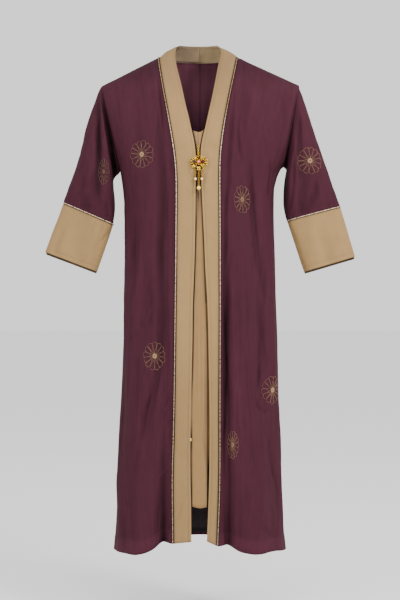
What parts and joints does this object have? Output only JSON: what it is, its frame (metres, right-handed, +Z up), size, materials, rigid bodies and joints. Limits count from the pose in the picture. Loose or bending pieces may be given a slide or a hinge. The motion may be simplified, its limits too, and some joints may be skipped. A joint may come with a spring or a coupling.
{
  "type": "abaya",
  "caption": "Long open-front abaya with a contrast front band and collar, deep cuffs, an inner front panel and a pinned brooch with hanging drops, filled out and hollow.",
  "frame": {"origin": "middle of the neck at the height where the shoulder seams meet the collar band, the level at which the shoulders hold the garment", "axes": "+Z up from hem to neck, -Y out of the front, +X towards the wearer's left"},
  "size_m": [0.8217, 0.2389, 1.344],
  "materials": {
    "burgundy_cloth": "soft woven, slight sheen",
    "tan_cloth": "matt woven",
    "insert_cloth": "matt woven",
    "lining_cloth": "matt woven",
    "metallic_cord": "twisted metallic thread",
    "gold": "polished gold colour",
    "pearl": "pearl",
    "orange_stone": "polished",
    "dark_stone": "polished",
    "red_stone": "polished"
  },
  "bodies": {
    "root": {"front_right": "burgundy_cloth", "front_left": "burgundy_cloth", "back_right": "burgundy_cloth", "back_left": "burgundy_cloth", "sleeve_right": "burgundy_cloth", "sleeve_left": "burgundy_cloth", "cuff_right": "tan_cloth", "cuff_left": "tan_cloth", "band_right": "tan_cloth", "band_left": "tan_cloth", "piping_right": "metallic_cord", "piping_left": "metallic_cord", "cuff_piping_right": "metallic_cord", "cuff_piping_left": "metallic_cord", "inner_panel": "insert_cloth", "back_lining": "lining_cloth", "brooch_plate": "gold", "stone_centre": "orange_stone", "stone_right": "dark_stone", "stone_left": "red_stone"},
    "drop_right": {"drop_right": "gold", "pearl_right": "pearl"},
    "drop_left": {"drop_left": "gold", "pearl_left": "pearl"},
    "drop_centre": {"drop_centre": "gold", "pearl_centre": "pearl"}
  },
  "joints": [
    {"name": "drop_right_swing", "type": "hinge", "parent": "root", "child": "drop_right", "pos_m": [-0.0117, -0.11017, -0.3112], "axis": [0, 1, 0], "range_deg": [-8, 25]},
    {"name": "drop_left_swing", "type": "hinge", "parent": "root", "child": "drop_left", "pos_m": [0.0048, -0.11017, -0.3112], "axis": [0, 1, 0], "range_deg": [-25, 8]},
    {"name": "drop_centre_swing", "type": "hinge", "parent": "root", "child": "drop_centre", "pos_m": [-0.0032, -0.11657, -0.3128], "axis": [0, 1, 0], "range_deg": [-20, 20]}
  ]
}
